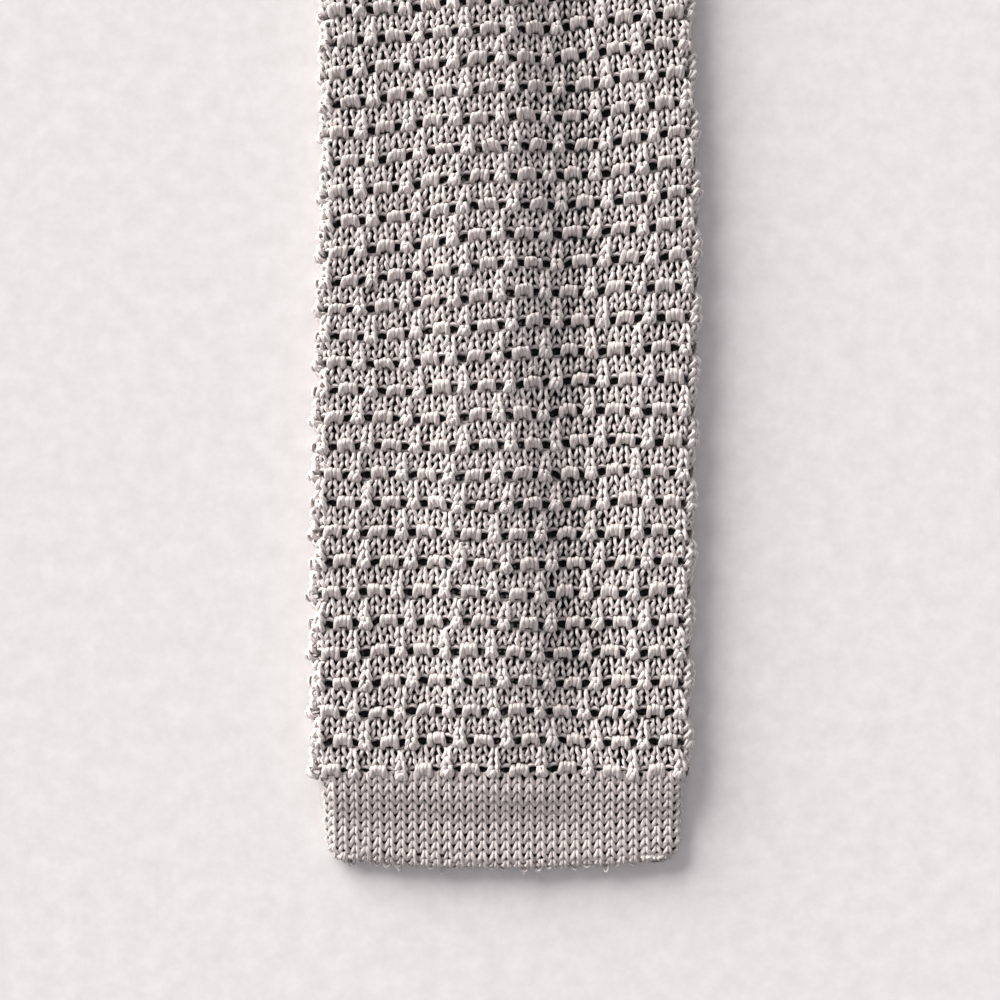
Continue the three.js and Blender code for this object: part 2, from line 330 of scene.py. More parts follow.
def sweep(name, paths, normals, lift, radius, sides, flatness=1.0):
    """One mesh of tubes. paths and normals are (tubes, points, 3), lift and radius (tubes, points)."""
    tubes, count = paths.shape[:2]
    along = np.gradient(paths, axis=1)
    along /= np.linalg.norm(along, axis=2, keepdims=True)
    across = np.cross(along, normals)
    across /= np.maximum(np.linalg.norm(across, axis=2, keepdims=True), 1e-6)
    out = np.cross(across, along)
    angle = 2 * math.pi * np.arange(sides) / sides
    radius = np.broadcast_to(radius, (tubes, count))[..., None, None]
    ring = np.cos(angle)[:, None] * across[:, :, None, :]
    ring = ring + flatness * np.sin(angle)[:, None] * out[:, :, None, :]
    points = paths[:, :, None, :] + radius * ring
    point_lift = np.broadcast_to(lift, (tubes, count))[..., None] + radius[..., 0] * flatness * np.sin(angle)
    length = np.cumsum(np.linalg.norm(np.diff(paths, axis=1, prepend=paths[:, :1]), axis=2), axis=1)
    length += YARN_APART * np.arange(tubes)[:, None]
    straight = np.stack(np.broadcast_arrays(length[..., None], np.cos(angle), np.sin(angle)), -1)

    start = (np.arange(tubes)[:, None, None] * count + np.arange(count - 1)[None, :, None]) * sides
    here = start + np.arange(sides)
    beside = start + (np.arange(sides) + 1) % sides
    quads = np.stack([here, beside, beside + sides, here + sides], -1).reshape(-1, 4)
    first = np.arange(tubes)[:, None] * count * sides + np.arange(sides)[::-1]
    last = np.arange(tubes)[:, None] * count * sides + (count - 1) * sides + np.arange(sides)
    caps = np.concatenate([first, last])
    return mesh_from_arrays(name, points.reshape(-1, 3), quads, caps, straight.reshape(-1, 3), point_lift)


def triangles(piece):
    """How many triangles a piece's mesh makes."""
    totals = np.empty(len(piece.data.polygons), np.int32)
    piece.data.polygons.foreach_get("loop_total", totals)
    return int((totals - 2).sum())


# %% [markdown]
# ## Silk yarn
# The yarn is spun silk, a few fine strands twisted together. Silk has a refractive index near 1.55 and
# a soft sheen rather than a gloss. The twist shows as faint slanting streaks and the spinning as slow
# changes of shade. Both are drawn in the yarn's own straight space, so they follow every loop. Yarn
# that lies deep in the cloth gets little light, so its colour is darkened with depth: painted shade.
# The held loops get a rougher copy of the yarn whose colour is darker, painted shade for their bodies,
# which tilt away from the light. Along the long stretch, which is seen from further off, the twist
# blends into one even tone, and the yarn there is painted lighter to make up for the shade that its
# coarse stitches cast on one another.

# %% Silk yarn material
TWIST_LENGTH = 3.4
STRAND_COUNT = 3
SILK_IOR = 1.55
DEEPEST = -1.5
HIGHEST = -0.5
DEEP_SHADE = 0.03
STREAKS = 0.09


def silk(name, light, dark, roughness):
    """Twisted silk yarn. light and dark: on and between its strands, partly painted shade in the twist's
    grooves.
    """
    material = bpy.data.materials.new(name)
    material.use_nodes = True
    tree = material.node_tree
    shader = tree.nodes["Principled BSDF"]
    shader.inputs["IOR"].default_value = SILK_IOR
    shader.inputs["Roughness"].default_value = roughness
    shader.inputs["Sheen Weight"].default_value = 0.25
    shader.inputs["Sheen Roughness"].default_value = 0.4
    place = add_node(tree, "ShaderNodeAttribute", {"attribute_name": "straight_yarn"}).outputs["Vector"]
    parts = add_node(tree, "ShaderNodeSeparateXYZ", Vector=place)
    around = add_node(
        tree, "ShaderNodeMath", {"operation": "ARCTAN2"}, i0=parts.outputs["Z"], i1=parts.outputs["Y"],
    )
    turns = add_node(
        tree, "ShaderNodeMath", {"operation": "MULTIPLY_ADD"},
        i0=parts.outputs["X"], i1=2 * math.pi / TWIST_LENGTH / STRAND_COUNT, i2=around.outputs[0],
    )
    phase = add_node(
        tree, "ShaderNodeMath", {"operation": "MULTIPLY"}, i0=turns.outputs[0], i1=float(STRAND_COUNT),
    )
    wave = add_node(tree, "ShaderNodeMath", {"operation": "SINE"}, i0=phase.outputs[0])
    drawn_out = add_node(tree, "ShaderNodeMapping", Vector=place, Scale=(0.9, 5.0, 5.0)).outputs["Vector"]
    fibres = add_node(
        tree, "ShaderNodeTexNoise", Vector=drawn_out, Scale=1.6, Detail=4.0, Roughness=0.65,
    )
    mixed = add_node(
        tree, "ShaderNodeMath", {"operation": "MULTIPLY_ADD"},
        i0=wave.outputs[0], i1=STREAKS, i2=fibres.outputs["Fac"],
    )
    ramp = add_node(tree, "ShaderNodeValToRGB", Fac=mixed.outputs[0])
    for stop, position, colour in zip(ramp.color_ramp.elements, (0.33, 0.64), (dark, light)):
        stop.position = position
        stop.color = linear(colour)
    above = add_node(tree, "ShaderNodeAttribute", {"attribute_name": "lift"}).outputs["Fac"]
    depth = add_node(
        tree, "ShaderNodeMapRange", Value=above, i1=DEEPEST, i2=HIGHEST, i3=DEEP_SHADE, i4=1.0,
    )
    shaded = add_node(
        tree, "ShaderNodeMix", {"data_type": "RGBA", "blend_type": "MULTIPLY"},
        i0=1.0, i6=ramp.outputs["Color"], i7=depth.outputs["Result"],
    )
    tree.links.new(shaded.outputs[2], shader.inputs["Base Color"])
    bump = add_node(tree, "ShaderNodeBump", Strength=0.5, Distance=0.00015, Height=mixed.outputs[0])
    tree.links.new(bump.outputs["Normal"], shader.inputs["Normal"])
    return material


tuck_silk = silk("spun_silk_tuck_knit", "#fdf4f1", "#a99e99", 0.42)
# Held loops: a darker copy, painted shade for cap bodies that tilt away from the light.
shaded_cap_silk = silk("spun_silk_held_loops_painted_shade", "#ebe1dd", "#a59a95", 0.52)
plain_silk = silk("spun_silk_plain_knit", "#e8deda", "#a59b97", 0.45)
# Near-black yarn: painted shade for the cloth inside, seen at the bottom of holes and between stitches.
shade_silk = silk("spun_silk_inside_painted_shade", "#1c1716", "#0f0c0c", 0.8)
# Long stretch: a lighter copy, painted light to make up for the shade its coarse stitches cast.
far_painted_light_silk = silk("spun_silk_long_stretch_painted_light", "#fbf1ed", "#dcd2cd", 0.42)

# %% [markdown]
# ## The purl side
# The back of the tie lies on the table. Knit shows its other side there, close rows of small bumps, so
# two crossing waves with the pitch of the courses and of the wales are enough, with the colour darker
# between the bumps as painted shade. The edges of the seam inside the tube are the same cloth pressed
# flat, and the ground between the stitches of the long stretch is the same, painted in the grey of half
# shade.


# %% Purl side material
PURL_COURSE = 1.66
PURL_WALE = 1.96


def knitted_back(name, light, dark):
    """Knit seen from its purl side: rows of small bumps, drawn by two waves in real millimetres."""
    material = bpy.data.materials.new(name)
    material.use_nodes = True
    tree = material.node_tree
    shader = tree.nodes["Principled BSDF"]
    shader.inputs["IOR"].default_value = SILK_IOR
    shader.inputs["Roughness"].default_value = 0.55
    place = add_node(tree, "ShaderNodeTexCoord").outputs["Object"]
    courses, wales = (
        add_node(
            tree, "ShaderNodeTexWave", {"bands_direction": direction}, Vector=place,
            Scale=math.pi / 10 / (pitch * MM), Distortion=waver, Detail=2.0, Detail_Scale=900.0,
        ).outputs["Fac"]
        for direction, pitch, waver in (("Y", PURL_COURSE, 1.6), ("X", PURL_WALE, 1.2))
    )
    bumps = add_node(tree, "ShaderNodeMath", {"operation": "MULTIPLY"}, i0=courses, i1=wales)
    # Darker where the waves are low, between the bumps: painted shade.
    ramp = add_node(tree, "ShaderNodeValToRGB", Fac=bumps.outputs[0])
    for stop, position, colour in zip(ramp.color_ramp.elements, (0.05, 0.45), (dark, light)):
        stop.position = position
        stop.color = linear(colour)
    tree.links.new(ramp.outputs["Color"], shader.inputs["Base Color"])
    bump = add_node(tree, "ShaderNodeBump", Strength=0.6, Distance=0.0005, Height=bumps.outputs[0])
    tree.links.new(bump.outputs["Normal"], shader.inputs["Normal"])
    return material


back_silk = knitted_back("spun_silk_purl_back", "#c9c0bd", "#4a4341")
half_shade_ground_silk = knitted_back("spun_silk_ground_painted_half_shade", "#b3a9a5", "#766d69")
seam_silk = knitted_back("spun_silk_pressed_seam", "#bdb4b1", "#6a615e")
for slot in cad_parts["back_seam"].material_slots:
    slot.material = seam_silk
print("materials:", [material.name for material in bpy.data.materials if "silk" in material.name])

# %% [markdown]
# ## One course of plain knit
# A knitted row, a course, is one yarn that swings up and down through its neighbours. A short formula
# gives its path: it walks across with a little double-time sway that pinches each loop's neck, swings
# up and down once a stitch, and passes to the front on both legs and to the back at head and foot. A
# slight tilt lays the point of each stitch over the one before. On this tie the knitting runs down
# towards the wide end, so each stitch shows as an upside-down V.

# %% The loop formula
LOOP_SWAY = 0.5
LOOP_SWING = 0.68
LOOP_RISE = 0.45
LOOP_DIP = 1.15
LOOP_TILT = 0.14
YARN_RADIUS = 0.34


def loops(wale, course_pitch, reach):
    """Where a yarn is at a place along its course, from the course's line: across, along the tie and out."""
    phase = 2 * math.pi * (wale + 0.5)
    across = LOOP_SWAY * np.sin(2 * phase) * np.sqrt(reach)
    along = LOOP_SWING * course_pitch * np.cos(phase) * reach
    out = -np.cos(2 * phase)
    out = out * np.where(out > 0, LOOP_RISE, LOOP_DIP) + LOOP_TILT * np.cos(phase)
    return across, along, out


# %% [markdown]
# ## The tuck-stitch chart
# The pattern repeats every four wales and every two rows, and a row is three courses high. In each row
# a raised chain stands between two holes, and a bundle of held loops, a cap, fills the wale opposite.
# The next row is the same, one wale over. Columns below are wales counted from the chain, and the lines
# are courses counted up from the row: how far the stitch is lifted out of the cloth and moved along the
# tie, in millimetres, and how much of its reach it loses and how much thicker its yarn is, as shares.

# %% The chart
WALE_PITCH = 1.96
COURSE_PITCH = 1.663
ROW_COURSES = 3
REPEAT_WALES = 4
CHAIN_U = 0.52
ROW_V = 72.1
ODD_ROW_SHIFT = -1
CHART_STEEPNESS = 2.2

CHART_LIFT = {
    2: [0.5, 0.0, 0.05, 0.0],
    1: [0.65, -0.05, 0.05, -0.05],
    0: [0.55, -1.6, -0.45, -1.6],
    -1: [0.05, 0.0, 0.0, 0.0],
}
CHART_SHIFT = {
    2: [-0.45, 0.0, 0.0, 0.0],
    1: [-0.4, 0.0, 0.3, 0.0],
    0: [-0.3, -0.5, 0.0, -0.5],
    -1: [-0.1, -0.3, -0.25, -0.3],
}
CHART_REACH_LOST = {
    2: [0.0, 0.0, 0.0, 0.0],
    1: [0.0, 0.25, 0.2, 0.25],
    0: [0.0, 0.8, 0.2, 0.8],
    -1: [0.0, 0.1, 0.0, 0.1],
}
CHART_THICKER = {
    2: [0.18, 0.0, 0.05, 0.0],
    1: [0.26, 0.0, 0.12, 0.0],
    0: [0.26, 0.0, 0.0, 0.0],
    -1: [0.0, 0.0, 0.0, 0.0],
}


def wale_u(wale):
    """How far a wale lies across from the tie's middle."""
    return CHAIN_U + WALE_PITCH * wale


def course_v(course):
    """How far a course lies from the wide end's edge."""
    return ROW_V + COURSE_PITCH * course


def chart_line(table, row, wale):
    """One line of a chart along a row, smooth from wale to wale."""
    from_chain = np.mod(wale - np.where(row % 2, ODD_ROW_SHIFT, 0), REPEAT_WALES)
    low = np.floor(from_chain).astype(int) % REPEAT_WALES
    t = ease(np.clip((from_chain - np.floor(from_chain) - 0.5) * CHART_STEEPNESS + 0.5, 0, 1))
    table = np.array(table)
    return table[low] * (1 - t) + table[(low + 1) % REPEAT_WALES] * t


def chart_value(chart, course, wale):
    """The chart's value for a course, which belongs to the row below it and borders on the row above."""
    row = np.floor(course / ROW_COURSES).astype(int)
    within = course - ROW_COURSES * row
    value = np.zeros(np.broadcast_shapes(course.shape, wale.shape))
    for line in (0, 1, 2):
        value += np.where(within == line, chart_line(chart[line], row, wale), 0)
    return value + np.where(within == ROW_COURSES - 1, chart_line(chart[-1], row + 1, wale), 0)


print("the pattern repeats every", REPEAT_WALES * WALE_PITCH, "mm across and every",
      round(2 * ROW_COURSES * COURSE_PITCH, 2), "mm along")

# %% [markdown]
# ## How the laid cloth is skewed
# On the table the courses aren't level. Near the wide end they are, and further up they climb to the
# right. Slow wandering waves stand for the way that a soft knit never lies quite square.

# %% Skew and wander
SKEW = 0.085
SKEW_START, SKEW_END = 55, 110
STEADY_SIDE = 29
STEADY_FADE = 8
ACROSS_WAVES = [
    {"size": 0.28, "over_u": 17, "over_v": 9.1, "start": 0},
    {"size": 0.2, "over_u": 6.3, "over_v": 3.7, "start": 1.3},
]
ALONG_WAVES = [
    {"size": 0.3, "over_u": 7.3, "over_v": 13, "start": 0},
    {"size": 0.16, "over_u": 2.9, "over_v": 5.1, "start": 0.7},
]


def wandering(waves, u, v):
    """The sum of some slow waves at a place on the cloth."""
    return sum(w["size"] * np.sin(u / w["over_u"] + v / w["over_v"] + w["start"]) for w in waves)


def wander(u, v):
    """How far a place on the cloth has moved across and along."""
    ramp = ease(np.clip((v - SKEW_START) / (SKEW_END - SKEW_START), 0, 1))
    held = np.clip((STEADY_SIDE - np.abs(u)) / STEADY_FADE, 0, 1)
    return wandering(ACROSS_WAVES, u, v) * held, wandering(ALONG_WAVES, u, v) + SKEW * ramp * u


# %% [markdown]
# ## The side folds
# Where a row of held loops runs round the side of the tie, it pushes the fold out, and the edge looks
# beaded. Most of the beads show on the left. On the right the cloth is pressed flatter. Both are given
# as one number more for each place: how far it is pushed out at the fold.

# %% Side bumps
LEFT_BUMP, RIGHT_BUMP = 0.42, 0.08
BUMP_BELOW_ROW = 0.8
RIGHT_PRESSED = 0.5


def on_fold(u, v):
    """How near a place is to the outermost line of its side fold, as a share."""
    return np.sin(np.clip((abs(u) - flat_half(v)) / FOLD_RADIUS, 0, math.pi)) ** 2


def side_bumps(u, v):
    """How far each row of caps pushes the cloth out at its side folds, most on the left."""
    rows = np.cos(2 * math.pi * (v - ROW_V + BUMP_BELOW_ROW) / (ROW_COURSES * COURSE_PITCH))
    return np.where(u < 0, LEFT_BUMP, RIGHT_BUMP) * on_fold(u, v) * rows


# %% [markdown]
# ## The courses of the wide end
# Now the formula, the chart and the wander are added up for every point of every course, and the yarn
# is swept. The cloth nearest the wide end is made with whole yarn loops, in a few pieces so that none
# is too heavy.

# %% Yarn courses near the wide end
NEAR_END = 158
NEAR_PARTS = 3
SEGMENTS = 9
SIDES = 5
WALES_EACH_SIDE = 19
SUNK = -0.72
# Moves the yarn's value for the depth shading with the relief: painted shade in the valley and painted light
# on the ridge.
VALLEY_SHADE = 0.36
RNG_SEED = 11
TUBE_MARGIN = 1.0
UNEVEN_ACROSS, UNEVEN_ALONG, UNEVEN_LIFT, UNEVEN_THICKNESS = 0.12, 0.15, 0.1, 0.08

random = np.random.default_rng(RNG_SEED)


def near_course_numbers():
    """The courses from the wide end's band to the end of the near stretch."""
    first = math.ceil((TUBE_START + TUBE_MARGIN - ROW_V) / COURSE_PITCH)
    last = math.floor((NEAR_END - ROW_V) / COURSE_PITCH)
    return np.arange(first, last + 1)


def jitter(courses, wales, amount):
    """A small random move for each stitch, smooth from one to the next along the course."""
    knots = random.normal(0, amount, (courses, 2 * WALES_EACH_SIDE + 2))
    place = wales[0] + WALES_EACH_SIDE + 0.5
    low = np.clip(np.floor(place).astype(int), 0, knots.shape[1] - 2)
    t = ease(place - low)
    return knots[:, low] * (1 - t) + knots[:, low + 1] * t


numbers = near_course_numbers()
wale = np.linspace(
    -WALES_EACH_SIDE - 0.5, WALES_EACH_SIDE + 0.5, (2 * WALES_EACH_SIDE + 1) * SEGMENTS + 1
)
course_grid, wale_grid = np.meshgrid(numbers, wale, indexing="ij")
reach = 1 - chart_value(CHART_REACH_LOST, course_grid, wale_grid)
across, along, out = loops(wale_grid, COURSE_PITCH, reach)
lift = chart_value(CHART_LIFT, course_grid, wale_grid)
shift = chart_value(CHART_SHIFT, course_grid, wale_grid)
u = wale_u(wale_grid) + across + jitter(len(numbers), wale_grid, UNEVEN_ACROSS)
v = course_v(course_grid) + along + shift + jitter(len(numbers), wale_grid, UNEVEN_ALONG)
du, dv = wander(u, v)
lift = lift + out + SUNK + jitter(len(numbers), wale_grid, UNEVEN_LIFT) + side_bumps(u, v)
uneven = jitter(len(numbers), wale_grid, UNEVEN_THICKNESS)
thick = YARN_RADIUS * (1 + chart_value(CHART_THICKER, course_grid, wale_grid) + uneven)
paths, path_normals = on_cloth(u + du, np.maximum(v + dv, TUBE_START - TUBE_MARGIN), lift, YARN_RADIUS)
shaded = lift + VALLEY_SHADE * relief(u, v)

near_pieces = []
for part, chosen in enumerate(np.array_split(np.arange(len(numbers)), NEAR_PARTS)):
    name = f"tuck_courses_{part + 1}"
    piece = sweep(name, paths[chosen], path_normals[chosen], shaded[chosen], thick[chosen], SIDES)
    piece.data.materials.append(tuck_silk)
    near_pieces.append(piece)
    print(piece.name, triangles(piece), "triangles")

# %% [markdown]
# ## Caps
# Where the needle holds its loop while the next courses are laid in, three or four strands end up side
# by side. They come up from the back, bulge over the front and tuck in again under the stitch below: a
# small padded cap.

# %% Caps
CAP_STRANDS = [
    {"top": -0.98, "foot": -1.12, "high": 1.12, "low": -1.15, "rise": 1.68},
    {"top": -0.33, "foot": -0.38, "high": 1.25, "low": -0.6, "rise": 1.8},
    {"top": 0.33, "foot": 0.38, "high": 1.25, "low": -0.6, "rise": 1.8},
    {"top": 0.98, "foot": 1.12, "high": 1.2, "low": -1.15, "rise": 1.68},
]
CAP_RADIUS = 0.51
CAP_WALE = 2.08
BUNDLE_POINTS = 7
BUNDLE_SIDES = 6
BUNDLE_FLATNESS = 0.55
BUNDLE_ROOT = -1.15
BUNDLE_SLOPE = 0.55
BUNDLE_ENDS = 0.14
BUNDLE_THINNEST = 0.75
BUNDLE_UNEVEN = (0.24, 0.09, 0.14, 0.1)
STRAND_UNEVEN = (0.07, 0.1, 0.08)


def pattern_rows():
    """The rows of the pattern in the near stretch."""
    first = math.ceil((TUBE_START + TUBE_MARGIN - ROW_V) / COURSE_PITCH / ROW_COURSES)
    last = math.floor((NEAR_END - ROW_V) / COURSE_PITCH / ROW_COURSES)
    return range(first, last + 1)


def chain_wales(row, offset):
    """The wales at an offset from each raised chain of a row, on this stretch of the cloth."""
    first = (ODD_ROW_SHIFT if row % 2 else 0) + offset
    start = first - REPEAT_WALES * math.floor((first + WALES_EACH_SIDE) / REPEAT_WALES)
    return np.arange(start, WALES_EACH_SIDE, REPEAT_WALES)


def strand_bundle(name, strands, offset, radius):
    """Every bundle of short strands of one kind, as one piece."""
    t = np.linspace(0, 1, BUNDLE_POINTS)
    ends = np.minimum(1, np.minimum(t, 1 - t) / BUNDLE_ENDS) ** 0.6
    arch = ends * (1 - BUNDLE_SLOPE * t)
    plump = BUNDLE_THINNEST + (1 - BUNDLE_THINNEST) * np.sin(math.pi * t)
    aside_by, along_by, thicker_by = STRAND_UNEVEN
    all_u, all_v, all_lift, all_radius = [], [], [], []
    for row in pattern_rows():
        for wale_place in chain_wales(row, offset):
            lean, aside, along, raised = random.normal(0, BUNDLE_UNEVEN)
            for strand in strands:
                sway = aside + random.normal(0, aside_by)
                across = strand["top"] + (strand["foot"] - strand["top"]) * ease(t)
                all_u.append(wale_u(wale_place) + across + lean * (0.5 - t) + sway)
                high = strand["high"] + along + random.normal(0, along_by)
                all_v.append(course_v(ROW_COURSES * row) + high + (strand["low"] - high) * t ** 0.85)
                all_lift.append(BUNDLE_ROOT + (strand["rise"] + raised) * arch)
                all_radius.append(radius * random.normal(1, thicker_by) * plump)
    u, v, lift = np.array(all_u), np.array(all_v), np.array(all_lift)
    pressed = np.where(u > 0, RIGHT_PRESSED, 0) * on_fold(u, v)
    lift = BUNDLE_ROOT + (lift - BUNDLE_ROOT) * (1 - pressed) + side_bumps(u, v)
    du, dv = wander(u, v)
    points, normals = on_cloth(u + du, v + dv, lift, radius)
    shaded = lift + VALLEY_SHADE * relief(u, v)
    return sweep(name, points, normals, shaded, np.array(all_radius), BUNDLE_SIDES, BUNDLE_FLATNESS)


caps = strand_bundle("held_loop_caps", CAP_STRANDS, CAP_WALE, CAP_RADIUS)
caps.data.materials.append(shaded_cap_silk)
print(caps.name, triangles(caps), "triangles")

# %% [markdown]
# ## Knots of the raised chains
# Each raised chain ends in a bright little knot, where its last stitch is pulled forward between the
# two holes.

# %% Chain knots
KNOT_STRANDS = [
    {"top": -0.36, "foot": -0.8, "high": 0.9, "low": -1.05, "rise": 1.85},
    {"top": 0.36, "foot": 0.8, "high": 0.9, "low": -1.05, "rise": 1.85},
    {"top": 0.05, "foot": -0.1, "high": 0.1, "low": -1.35, "rise": 1.95},
]
KNOT_RADIUS = 0.46
knots = strand_bundle("chain_knots", KNOT_STRANDS, 0.0, KNOT_RADIUS)
knots.data.materials.append(tuck_silk)
print(knots.name, triangles(knots), "triangles")

# %% [markdown]
# ## Strands over the holes
# The loops that the needle holds are laid in behind the next courses. A strand shows as a short dim bar
# along the top of every hole, between the raised chain and the cap, and another, dimmer still, along
# its foot. Both are bowed, which is what makes the holes look round.

# %% Laid-in strands
HOLE_WALES = (-0.92, 0.98)
STRAND_HALF = 0.95
STRAND_BOW = 0.4
STRAND_DIVE = 0.55
STRAND_SLANT, STRAND_RAISED = 0.15, 0.06
STRAND_PLACES = [
    {"up": 0.8, "lift": -0.66},
    {"up": -1.1, "lift": -1.0},
]
STRAND_RADIUS = 0.33
STRAND_SIDES = 4


def laid_in_strands(name, rows):
    """Short bars along the top and the foot of each hole of some rows, bowed to round its corners."""
    t = np.array([-1.0, -0.6, 0.0, 0.6, 1.0])
    all_u, all_v, all_lift = [], [], []
    for row in rows:
        for offset in HOLE_WALES:
            at = chain_wales(row, 0)[:, None] + offset
            slant = random.normal(0, STRAND_SLANT, at.shape)
            raised = random.normal(0, STRAND_RAISED, at.shape)
            for strand in STRAND_PLACES:
                bow = STRAND_BOW * math.copysign(1, strand["up"]) * t * t
                all_u.append(wale_u(at) + STRAND_HALF * t)
                all_v.append(course_v(ROW_COURSES * row) + strand["up"] + slant * t - bow)
                all_lift.append(strand["lift"] - STRAND_DIVE * t * t + raised)
    u, v, lift = (np.concatenate(arrays) for arrays in (all_u, all_v, all_lift))
    du, dv = wander(u, v)
    points, normals = on_cloth(u + du, v + dv, lift, STRAND_RADIUS)
    return sweep(name, points, normals, lift, STRAND_RADIUS, STRAND_SIDES)


bars = laid_in_strands("laid_in_strands", pattern_rows())
bars.data.materials.append(tuck_silk)
print(bars.name, triangles(bars), "triangles")

# %% [markdown]
# ## The long stretch
# The rest of the tie is more than a metre of the same knit. Whole loops there would be too heavy, so
# only what shows is made: each stitch is a small tent over its two legs, and each strand of a cap or a
# knot is a short spindle, pointed at both ends where the yarn dives into the cloth. The chart and the
# wander are the same, so the pattern runs on unbroken.


# %% Spindles
STITCH_APART = 53.7
YARN_LENGTH = 997
NO_QUADS = np.empty((0, 4), int)


def spindles(name, points, normals, lift, radius, sides):
    """One mesh of spindles with pointed ends. points and normals are (spindles, stations, 3)."""
    number, stations = points.shape[:2]
    along = points[:, -1] - points[:, 0]
    along /= np.linalg.norm(along, axis=1, keepdims=True)
    across = np.cross(along[:, None], normals[:, 1:-1])
    across /= np.linalg.norm(across, axis=2, keepdims=True)
    out = np.cross(across, along[:, None])
    angle = 2 * math.pi * (np.arange(sides) + 0.25 * (sides % 2)) / sides
    radius = np.broadcast_to(radius, (number, stations - 2))[..., None, None]
    ring = np.cos(angle)[:, None] * across[:, :, None, :] + np.sin(angle)[:, None] * out[:, :, None, :]
    rings = points[:, 1:-1, None, :] + radius * ring
    body = rings.reshape(number, -1, 3)
    mesh_points = np.concatenate([points[:, :1], body, points[:, -1:]], axis=1)
    ring_lift = lift[:, 1:-1, None] + radius[..., 0] * np.sin(angle)
    mesh_lift = np.concatenate([lift[:, :1], ring_lift.reshape(number, -1), lift[:, -1:]], axis=1)
    each = mesh_points.shape[1]
    i = np.arange(sides)
    j = (i + 1) % sides
    first = np.stack([np.zeros_like(i), 1 + j, 1 + i], -1)
    start = 1 + sides * (stations - 3)
    last = np.stack([np.full_like(i, each - 1), start + i, start + j], -1)
    faces = [first, last]
    for ring_start in range(1, start, sides):
        low, high = ring_start + i, ring_start + j
        faces += [np.stack([low, high, high + sides], -1), np.stack([low, high + sides, low + sides], -1)]
    faces = np.concatenate(faces)
    corners = (np.arange(number)[:, None, None] * each + faces).reshape(-1, 3)
    straight = np.zeros((number, each, 3))
    straight[:, :, 0] = STITCH_APART * np.arange(number)[:, None] % YARN_LENGTH
    straight[:, 1:-1, 0] += 0.5
    straight[:, 1:-1, 1] = np.tile(np.cos(angle), stations - 2)
    straight[:, 1:-1, 2] = np.tile(np.sin(angle), stations - 2)
    mesh_points, straight = mesh_points.reshape(-1, 3), straight.reshape(-1, 3)
    return mesh_from_arrays(name, mesh_points, NO_QUADS, corners, straight, mesh_lift.ravel())


# %% [markdown]
# ## Stitches of the long stretch
# A stitch belongs to the tie only as far as the side fold reaches at its place, so the cloth loses
# wales towards the neck and gains them again towards the narrow end, as the real knitting does. Each
# point of a stitch's tent is given by how far it lies across, along and out from the stitch's middle.

# %% Far stitches
FAR_SIDE_REACH = 5.2
FAR_WALES = np.arange(-24, 25)
# Added to the far yarn's value for the depth shading, so its colour is darkened less: painted light.
FAR_PAINTED_LIGHT = 0.5
FAR_LOWEST = 0.3
FAR_PAST_END = 0.6
HOLE_REACH_LOST = 0.5
TENT_THICKER = 0.5
TENT_UNEVEN = {"along": 0.12, "lift": 0.07, "size": 0.05, "across": 0.08}
TENT_POINTS = [
    (0.0, 1.0, -0.6),
    (0.0, -0.05, -1.15),
    (0.48, 0.78, -0.85),
    (0.98, -0.5, -1.15),
    (0.58, -1.0, -1.15),
    (0.48, 0.1, -0.1),
    (-0.48, 0.78, -0.85),
    (-0.98, -0.5, -1.15),
    (-0.58, -1.0, -1.15),
    (-0.48, 0.1, -0.1),
]
TENT_FACES = [
    (0, 5, 2), (2, 5, 3), (3, 5, 4), (4, 5, 1), (1, 5, 0),
    (0, 6, 9), (6, 7, 9), (7, 8, 9), (8, 1, 9), (1, 0, 9),
]
FAR_PARTS = 3
FAR_LAST_COURSE = 0.5


def in_reach(course, wale):
    """Whether the cloth is wide enough at a course to have this wale."""
    return abs(wale_u(wale)) < flat_half(course_v(course)) + FAR_SIDE_REACH


def far_grid(numbers):
    """Courses and wales of the long stretch, with only those wales that the cloth has there."""
    wales = np.arange(-WALES_EACH_SIDE, WALES_EACH_SIDE + 1)
    course, wale = (grid.ravel() for grid in np.meshgrid(numbers, wales, indexing="ij"))
    keep = in_reach(course, wale)
    return course[keep], wale[keep]


def far_stitches(name, numbers):
    """Every stitch of some courses, as a small tent over its two legs."""
    course, wale = far_grid(numbers)
    keep = chart_value(CHART_REACH_LOST, course, wale) < HOLE_REACH_LOST
    course, wale = course[keep], wale[keep]
    count = len(wale)
    moved = {way: random.normal(0, amount, count) for way, amount in TENT_UNEVEN.items()}
    lift = chart_value(CHART_LIFT, course, wale) + moved["lift"]
    size = 1 + TENT_THICKER * chart_value(CHART_THICKER, course, wale) + moved["size"]
    centre_u = wale_u(wale) + moved["across"]
    centre_v = course_v(course) + chart_value(CHART_SHIFT, course, wale) + moved["along"]
    tent_u, tent_v, tent_lift = np.array(TENT_POINTS).T
    u = centre_u[:, None] + tent_u * size[:, None]
    v = centre_v[:, None] + tent_v * size[:, None]
    up = lift[:, None] + tent_lift + side_bumps(u, v)
    du, dv = wander(u, v)
    points, _ = on_cloth(u + du, np.minimum(v + dv, TUBE_END + FAR_PAST_END), up, FAR_LOWEST)
    corners = (np.arange(count)[:, None, None] * len(TENT_POINTS) + np.array(TENT_FACES)).reshape(-1, 3)
    along = 0.5 * (tent_v.max() - tent_v) + STITCH_APART * np.arange(count)[:, None] % YARN_LENGTH
    straight = np.stack(np.broadcast_arrays(along, 2 * abs(tent_u) - 1, tent_lift + 1), -1)
    shaded = (up + FAR_PAINTED_LIGHT + VALLEY_SHADE * relief(u, v)).ravel()
    return mesh_from_arrays(
        name, points.reshape(-1, 3), NO_QUADS, corners, straight.reshape(-1, 3), shaded,
    )


